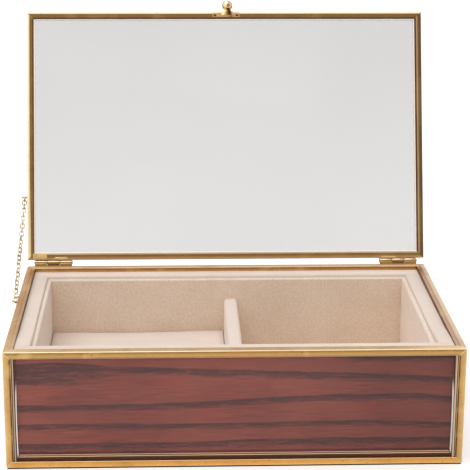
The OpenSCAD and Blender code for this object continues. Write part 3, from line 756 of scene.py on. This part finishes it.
# %% Tray
tray_low, tray_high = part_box("tray_front")
board_t = tray_high.y - tray_low.y
for side in ("front", "back", "left", "right"):
    wide = side in ("front", "back")
    outer_y = tray_low.y if wide else -tray_high.x
    half_run = tray_high.x if wide else -tray_low.y
    low = Vector((-half_run, outer_y, tray_low.z))
    high = Vector((half_run, outer_y + board_t, tray_high.z))
    shape = wrapped_board(low, high, True, board_t * 0.5, board_t * 0.3, 0.07 * MM)
    settle(f"velvet_tray_{side}", stand_along(shape, side), "box", "tray_velvet", tray_velvet, f"tray_{side}", smooth=60)

div_low, div_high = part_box("tray_divider")
across = div_high.y - div_low.y
shape = wrapped_board(
    Vector((-across / 2, -(div_high.x - div_low.x) / 2, div_low.z)),
    Vector((across / 2, (div_high.x - div_low.x) / 2, div_high.z)), False, 2.2 * MM, 2.2 * MM, 0.09 * MM)
bmesh.ops.rotate(shape, verts=shape.verts, cent=(0, 0, 0), matrix=Matrix.Rotation(radians(90), 3, "Z"))
bmesh.ops.translate(shape, verts=shape.verts, vec=((div_low.x + div_high.x) / 2, 0, 0))
settle("velvet_divider", shape, "box", "tray_velvet", divider_velvet, "tray_divider", smooth=60)

floor_low, floor_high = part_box("tray_floor")
shape = bmesh.new()
bmesh.ops.create_cube(shape, size=1)
bmesh.ops.scale(shape, verts=shape.verts, vec=floor_high - floor_low)
bmesh.ops.translate(shape, verts=shape.verts, vec=(floor_low + floor_high) / 2)
rounded(shape, 0.4 * MM)
settle("velvet_tray_floor", shape, "box", "tray_velvet", tray_velvet, "tray_floor", even=True)
print("tray divided at", round((div_low.x + div_high.x) / 2 / MM, 1), "mm from the middle")

# %% [markdown]
# The left compartment holds a raised pad: foam in velvet, pushed in so that its top
# swells and its corners draw back a little. We let a cloth simulation swell a
# slightly smaller block with pressure and stop each point after about a millimetre,
# which keeps it inside its place between the tray's walls.

# %% Pad
pad_low, pad_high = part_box("tray_pad")


def from_object(thing):
    """A bmesh of the object as its modifiers leave it."""
    held = bmesh.new()
    held.from_object(thing, bpy.context.evaluated_depsgraph_get())
    return held


def swollen_pad():
    shape = bmesh.new()
    bmesh.ops.create_cube(shape, size=1)
    inset = Vector((0.0, 0.0, 0.2)) * MM
    size = pad_high - pad_low - inset * 2
    bmesh.ops.scale(shape, verts=shape.verts, vec=size)
    bmesh.ops.translate(shape, verts=shape.verts, vec=(pad_low + pad_high) / 2)
    uprights = [e for e in shape.edges if abs(e.verts[0].co.z - e.verts[1].co.z) > size.z / 2]
    bmesh.ops.bevel(shape, geom=uprights, offset=0.4 * MM, offset_type="OFFSET", affect="EDGES", segments=2, profile=0.5, material=-1)
    mesh = bpy.data.meshes.new("pad_start")
    shape.to_mesh(mesh)
    shape.free()
    block = bpy.data.objects.new("pad_start", mesh)
    bpy.context.scene.collection.objects.link(block)
    voxels = block.modifiers.new("voxels", "REMESH")
    voxels.mode, voxels.voxel_size = "VOXEL", 1.5 * MM
    start = from_object(block)
    block.modifiers.clear()
    start.to_mesh(mesh)
    rest = [v.co.copy() for v in start.verts]
    start.free()
    cloth = block.modifiers.new("cloth", "CLOTH")
    cloth.settings.use_pressure = True
    cloth.settings.uniform_pressure_force = 4
    cloth.settings.effector_weights.gravity = 0
    cloth.settings.quality = 6
    for step in range(1, 21):
        bpy.context.scene.frame_set(step)
    swelled = from_object(block)
    most = 0.6 * MM
    for v, still in zip(swelled.verts, rest):
        moved = v.co - still
        moved *= min(1, most / max(moved.length, 1e-9))
        v.co = still + moved
    bpy.context.scene.frame_set(1)
    bpy.data.objects.remove(block)
    return swelled


shape = swollen_pad()
pad_middle = (pad_low + pad_high) / 2
reach = (pad_high - pad_low) / 2
side_room = Vector((0.45, 0.5, 0)) * MM
for v in shape.verts:
    u, w = (v.co.x - pad_middle.x) / reach.x, (v.co.y - pad_middle.y) / reach.y
    v.co += Vector((u, w, 0)) * 1.4 * MM
    if v.co.z > pad_high.z - 5 * MM:
        v.co.z += 0.4 * MM * (1 - max(abs(u), abs(w)) ** 8) + 0.25 * MM * noise.noise(v.co * 30) + 0.35 * MM * u
    top = pad_high.z + 0.9 * MM
    least, most = pad_low - side_room, pad_high + side_room
    v.co = Vector((min(max(v.co.x, least.x), most.x), min(max(v.co.y, least.y), most.y), min(max(v.co.z, pad_low.z), top)))
pad = settle("velvet_pad", shape, "box", "pad_velvet", pad_velvet, "tray_pad", smooth=180)
finer = pad.modifiers.new("finer", "SUBSURF")
finer.levels = finer.render_levels = 1
print("pad of", len(pad.data.polygons), "faces, top at", round(max(v.co.z for v in pad.data.vertices) / MM, 1), "mm")

# %% [markdown]
# Under the tray lies a fibreboard base, and a sheet of dark felt is glued beneath the
# whole box so that the brass does not scratch a table. The felt is one thin laid sheet.

# %% Base board and felt
base_board, r = finish("base_board")
where = r.place()
chips = r.cloud(where, 1500, 3, 0.7)
board_colour = r.mix(chips, tone(176, 146, 110), tone(206, 178, 140))
board_colour = r.mix(r.cloud(where.scaled(1, 1, 6), 700, 1).rise(0.62, 0.7) * 0.6, board_colour, tone(128, 98, 68))
r.surface(Base_Color=board_colour, Roughness=0.8, Normal=r.bump(chips, 0.0001, 0.4))
shape = rounded(merged("base_board"), 0.3 * MM, 2)
settle("board_base", shape, "box", "base_board", base_board, "base_board", even=True)

base_felt, r = finish("base_felt")
where = r.place()
matted = r.cloud(where, 320, 4, 0.7, 0.8)
fluff = r.cloud(where, 3000, 2)
felt_colour = r.mix(matted, tone(58, 54, 52), tone(78, 73, 70))
r.surface(Base_Color=r.mix(fluff.rise(0.6, 0.75) * 0.3, felt_colour, tone(112, 106, 102)), Roughness=0.95, Sheen_Weight=0.3, Sheen_Roughness=0.5, Normal=r.bump(matted + fluff * 0.5, 0.0003, 0.6))
shape = rounded(merged("base_felt"), 0.25 * MM, 2)
felt = settle("felt_underside", shape, "box", "base_felt", base_felt, "base_felt", even=True)

# %% [markdown]
# The small brass is brighter than the frame, because it is handled. The hinges are
# rolled leaves round a pin, painted light along the top of each barrel and painted
# shade along its underside. The knob is turned on a lathe, so it is spun: a profile of
# a ball, a neck and a flared foot is turned round its axis and then carried to the
# open lid, and its highlights, reflections and shading are painted.

# %% Bright brass of the hinges, knob and chain
def bright_brass(name, light, mid, deep, rough, light_and_dark_marks=None):
    material, recipe = finish(name)
    spot = recipe.place()
    cloudy = recipe.cloud(spot, 160, 3, 0.6)
    fine = recipe.cloud(spot, 1400, 3, 0.6)
    colour = recipe.mix(cloudy.rise(0.42, 0.62), light, mid)
    colour = recipe.mix(fine.rise(0.6, 0.75) * 0.45, colour, deep)
    colour = recipe.mix(recipe.attribute("worn") * 0.5, colour, tone(255, 240, 200))
    # An optional recipe adds painted light, painted shade or darker marks to the colour.
    if light_and_dark_marks:
        colour = light_and_dark_marks(recipe, spot, colour)
    recipe.surface(Base_Color=colour, Metallic=1.0, Roughness=rough + fine * 0.12, Normal=recipe.bump(fine + cloudy, 0.00005, 0.5))
    return material


def rolled_brass(name):
    """Hinge brass: a painted line of light along the top of each barrel, and painted shade along its foot."""
    material, recipe = finish(name)
    spot = recipe.place()
    # Painted light and shade: dark where the surface faces down, pale where it faces up.
    facing_up_painted_light = recipe.parts(recipe.facing())[2] * 0.5 + 0.5
    fine = recipe.cloud(spot.scaled(0.3, 1, 1), 1400, 3, 0.6)
    colour = (facing_up_painted_light + (fine - 0.5) * 0.05).ramp(
        (0.0, tone(70, 42, 18)), (0.22, tone(92, 58, 26)), (0.38, tone(150, 112, 58)), (0.52, tone(170, 134, 80)),
        (0.70, tone(142, 106, 62)), (0.84, tone(160, 122, 76)), (0.91, tone(252, 226, 190)), (1.0, tone(255, 234, 204)))
    colour = recipe.mix(fine.rise(0.58, 0.7) * 0.4, colour, tone(120, 84, 40))
    colour = recipe.mix(recipe.attribute("worn") * 0.25, colour, tone(255, 236, 200))
    recipe.surface(Base_Color=colour, Metallic=1.0, Roughness=0.22 + fine * 0.12, Normal=recipe.bump(fine, 0.00005, 0.5))
    return material


brass_hinge = rolled_brass("brass_hinge")
lap_brass = bright_brass("lap_brass", tone(212, 180, 122), tone(182, 148, 92), tone(128, 94, 50), 0.24)


def knob_finish(name):
    """The polished knob: painted highlights, a painted reflection and a painted dark rim on its ball, and a skirt
    painted lit on the left and shaded on the right.
    """
    material, recipe = finish(name)
    spot = recipe.place()
    normal = recipe.facing()
    fine = recipe.cloud(spot, 900, 3, 0.6)
    height = (spot.dot(lid_up) - knob_at.dot(lid_up)) / MM
    ball = recipe.mix(fine.rise(0.4, 0.6), tone(206, 178, 122), tone(186, 156, 102))
    # Painted highlights and a painted brown reflection on the ball, placed by which way its surface faces.
    ball = recipe.mix(normal.dot((-0.48, -0.72, 0.5)).rise(0.72, 0.94), ball, tone(246, 232, 186))
    ball = recipe.mix(normal.dot((0.62, -0.66, 0.42)).rise(0.84, 0.95), ball, tone(226, 196, 166))
    ball = recipe.mix(normal.dot((0.16, -0.95, 0.27)).rise(0.90, 0.97) * 0.85, ball, tone(146, 110, 66))
    is_ball = height.rise(1.9, 2.4)
    towards_us = normal.dot((0, -0.96, 0.28))
    # A painted dark rim where the ball turns away, standing for the dark room it would mirror.
    rim = (1 - towards_us.rise(0.30, 0.62)) * towards_us.rise(-0.5, -0.1) * is_ball
    across = (recipe.parts(spot)[0] / MM - 1.7) / (3.3 - height * 0.55) * 0.5 + 0.5
    # The skirt is painted lit on the left and shaded on the right.
    skirt = across.ramp(
        (0.03, tone(206, 180, 124)), (0.15, tone(250, 236, 188)), (0.27, tone(214, 190, 132)), (0.42, tone(146, 116, 68)),
        (0.56, tone(84, 52, 24)), (0.76, tone(70, 38, 16)), (0.86, tone(190, 150, 110)), (1.0, tone(226, 190, 150)))
    colour = recipe.mix(rim, recipe.mix(is_ball, skirt, ball), tone(96, 78, 50))
    recipe.surface(
        Base_Color=colour, Metallic=1 - rim * 0.85, Roughness=0.2 + fine * 0.08 + rim * 0.5, Specular_IOR_Level=0.15,
        Normal=recipe.bump(fine, 0.00004, 0.4))
    return material


knob_at = on_lid(1.7, -half_d / MM - 0.35, 68.3 + 2.3)
brass_knob = knob_finish("brass_knob")


def round_rivets(recipe, spot, colour):
    """A painted highlight along the plate's upper edge, darker round the rivets, and painted shade beside the knob."""
    beside = abs(abs(spot.dot((1, 0, 0)) / MM - 0.8) - 7)
    beneath_top = (lid_reach - 2.1) - (spot.dot(lid_up) - lid_foot.dot(lid_up)) / MM
    ring = (beside * beside + beneath_top * beneath_top * 1.6).rise(1.3, 0.5)
    # Painted shade to the right of the knob.
    shade = spot.dot((1, 0, 0)).rise(0.0065, 0.0035) * spot.dot((1, 0, 0)).rise(0.001, 0.004)
    # A painted highlight along the plate's upper edge.
    colour = recipe.mix((beneath_top * -1).rise(1.0, 1.7) * 0.75, colour, tone(252, 232, 190))
    return recipe.mix((ring * 0.9).most(shade * 0.4), colour, tone(64, 38, 18))


brass_saddle = bright_brass("brass_saddle", tone(182, 144, 102), tone(142, 106, 66), tone(96, 66, 42), 0.24, round_rivets)
brass_chain = bright_brass("brass_chain", tone(212, 198, 168), tone(160, 144, 112), tone(88, 72, 50), 0.2)
dark_brass = bright_brass("dark_brass", tone(104, 72, 40), tone(82, 56, 32), tone(44, 28, 16), 0.35)

for side in ("left", "right"):
    for part, body in (("body_leaf", "box"), ("lid_leaf", "lid"), ("pin", "box")):
        node = f"hinge_{side}_{part}"
        shape = merged(node)
        for v in shape.verts:
            if part == "body_leaf" and abs(v.co.y - half_d) < 0.01 * MM and v.co.z > rim_top:
                v.co.y += 0.04 * MM
        settle(f"brass_{node}", rounded(shape, 0.12 * MM, 2, 50), body, "brass_hinge", brass_hinge, node, smooth=40)



def spun(profile, steps):
    """A closed shape turned on a lathe, from its radius and height at each point, in millimetres."""
    shape = bmesh.new()
    shape.faces.layers.float.new("worn")
    turned = [shape.verts.new((radius * MM, 0, height * MM)) for radius, height in profile]
    outline = [shape.edges.new(pair) for pair in zip(turned, turned[1:])]
    bmesh.ops.spin(
        shape, geom=[*turned, *outline], cent=(0, 0, 0), axis=(0, 0, 1), angle=2 * pi, steps=steps, use_merge=True)
    bmesh.ops.remove_doubles(shape, verts=shape.verts, dist=1e-6)
    bmesh.ops.recalc_face_normals(shape, faces=shape.faces)
    return shape


to_knob = Matrix.Translation(knob_at) @ Matrix((Vector((1, 0, 0)), -lid_out, lid_up)).transposed().to_4x4()
neck = [(0.0, 0.0), (3.2, 0.0), (3.05, 0.35), (2.7, 0.8), (2.4, 1.25), (2.1, 1.7), (1.95, 2.0)]
ball = [(3.2 * sin(radians(a)), 4.1 - 3.2 * cos(radians(a))) for a in range(40, 180, 7)]
shape = spun([*neck, *ball, (0.0, 7.3)], 40)
bmesh.ops.transform(shape, matrix=to_knob, verts=shape.verts)
settle("brass_lid_knob", shape, "lid", "brass_knob", brass_knob, "lid_knob", smooth=40)

rail_front, over_plate, relief = 2.36 * MM, 0.31 * MM, 0.1
flare = [(0.0, 0.9), (2.75, 0.9), (3.2, 0.4), (3.7, -0.1), (4.2, -0.7), (4.6, -1.4), (5.0, -2.1), (0.0, -2.1)]
shape = spun(flare, 72)
halved = bmesh.ops.bisect_plane(
    shape, geom=[*shape.verts, *shape.edges, *shape.faces], plane_co=(0, rail_front, 0), plane_no=(0, 1, 0), clear_inner=True)
bmesh.ops.contextual_create(shape, geom=[e for e in halved["geom_cut"] if isinstance(e, bmesh.types.BMEdge)])
for v in shape.verts:
    if v.co.y > rail_front + 0.001 * MM:
        v.co.y = rail_front + over_plate + (v.co.y - rail_front) * relief
bmesh.ops.recalc_face_normals(shape, faces=shape.faces)
bmesh.ops.transform(shape, matrix=to_knob, verts=shape.verts)
settle("brass_knob_skirt", shape, "lid", "brass_knob", brass_knob, smooth=60)
saddle = merged("knob_saddle")
saddle_ends = [e for e in saddle.edges if abs((e.verts[0].co - e.verts[1].co).normalized().dot(lid_out)) > 0.9 and (e.verts[0].co - e.verts[1].co).length < 0.5 * MM]
bmesh.ops.bevel(saddle, geom=saddle_ends, offset=1.9 * MM, offset_type="OFFSET", affect="EDGES", segments=5, profile=0.5, material=-1, clamp_overlap=True)
settle("brass_knob_saddle", rounded(saddle, 0.08 * MM, 2, 60), "lid", "brass_knob", brass_saddle, "knob_saddle", smooth=40)
settle("brass_knob_rivets", rounded(merged("knob_rivets"), 0.05 * MM, 2, 50), "lid", "brass_knob", dark_brass, "knob_rivets", smooth=40)


def thin_plate(name, size, middle, turn, round_corner, body, material):
    """A small plate of sheet brass, bevelled, with its corners rounded."""
    plate = bmesh.new()
    bmesh.ops.create_cube(plate, size=1)
    bmesh.ops.scale(plate, verts=plate.verts, vec=Vector(size) * MM)
    if round_corner:
        edges = [e for e in plate.edges if abs(e.verts[0].co.y - e.verts[1].co.y) > size[1] * MM * 0.5]
        bmesh.ops.bevel(plate, geom=edges, offset=round_corner * MM, offset_type="OFFSET", affect="EDGES", segments=5, profile=0.5, material=-1, clamp_overlap=True)
    rounded(plate, 0.04 * MM, 2, 50)
    bmesh.ops.transform(plate, matrix=Matrix.Translation(middle) @ turn, verts=plate.verts)
    settle(name, plate, body, "brass_hinge", material, smooth=40)


lid_turn = Matrix((Vector((1, 0, 0)), lid_out, lid_up)).transposed().to_4x4()
for name, x0, x1, c0, c1, corner in (
        ("hinge_left_lap", -121.4, -112.8, 0.9, 4.2, 0.3), ("hinge_left_tab", -108.4, -99.6, 0.1, 1.9, 1.2),
        ("hinge_right_tab", 97.8, 107.0, 0.1, 1.2, 0.3)):
    middle = lid_foot + Vector(((x0 + x1) / 2 * MM, 0, 0)) + lid_up * (c0 + c1) / 2 * MM - lid_out * 0.08 * MM
    thin_plate(name, (x1 - x0, 0.16, c1 - c0), middle, lid_turn, corner, "lid", lap_brass)
for side, sign in (("left", -1), ("right", 1)):
    thin_plate(f"hinge_{side}_lip", (7.8, 0.38, 0.70), Vector((sign * 108.7 * MM, 78.48 * MM, 67.72 * MM)), Matrix.Identity(4), 0, "box", brass_hinge)
print("hinges, knob, saddle and rivets rounded")

# %% [markdown]
# The stay chain is plain oval links of thin wire, each turned a right angle from the
# last. The measured links already interlock, so their copies only need merging and
# smoothing. A drop of solder holds each stud to the brass.

# %% Chain and its solder
for part in ("lower_run", "lower_bend", "middle_bend", "middle_run", "upper_run"):
    node = f"chain_{part}"
    settle(f"brass_{node}", merged(node), node, "brass_chain", brass_chain, node, smooth=60)


def solder_drop(name, node, body, spread, shift):
    """A flattened, uneven drop round a stud's root."""
    low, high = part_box(node)
    drop = bmesh.new()
    drop.faces.layers.float.new("worn")
    bmesh.ops.create_icosphere(drop, subdivisions=3, radius=1)
    bmesh.ops.scale(drop, verts=drop.verts, vec=spread)
    for v in drop.verts:
        v.co *= 1 + 0.22 * noise.noise(v.co * 700)
    bmesh.ops.translate(drop, verts=drop.verts, vec=(-half_w - 0.1 * MM, (low.y + high.y) / 2 + shift.y, (low.z + high.z) / 2 + shift.z))
    settle(name, drop, body, "brass_chain", brass_chain, smooth=60)


for node, body, spread, shift in (
        ("chain_stud_lower", "box", Vector((0.9, 3.4, 1.7)), Vector((0, 1.6, 0.8))),
        ("chain_stud_upper", "lid", Vector((0.55, 1.5, 1.2)), Vector())):
    settle(f"brass_{node}", rounded(merged(node), 0.06 * MM, 2, 50), body, "brass_chain", brass_chain, node, smooth=40)
    solder_drop(f"solder_{node}", node, body, spread * MM, shift * MM)
print("chain of five stretches on two studs")
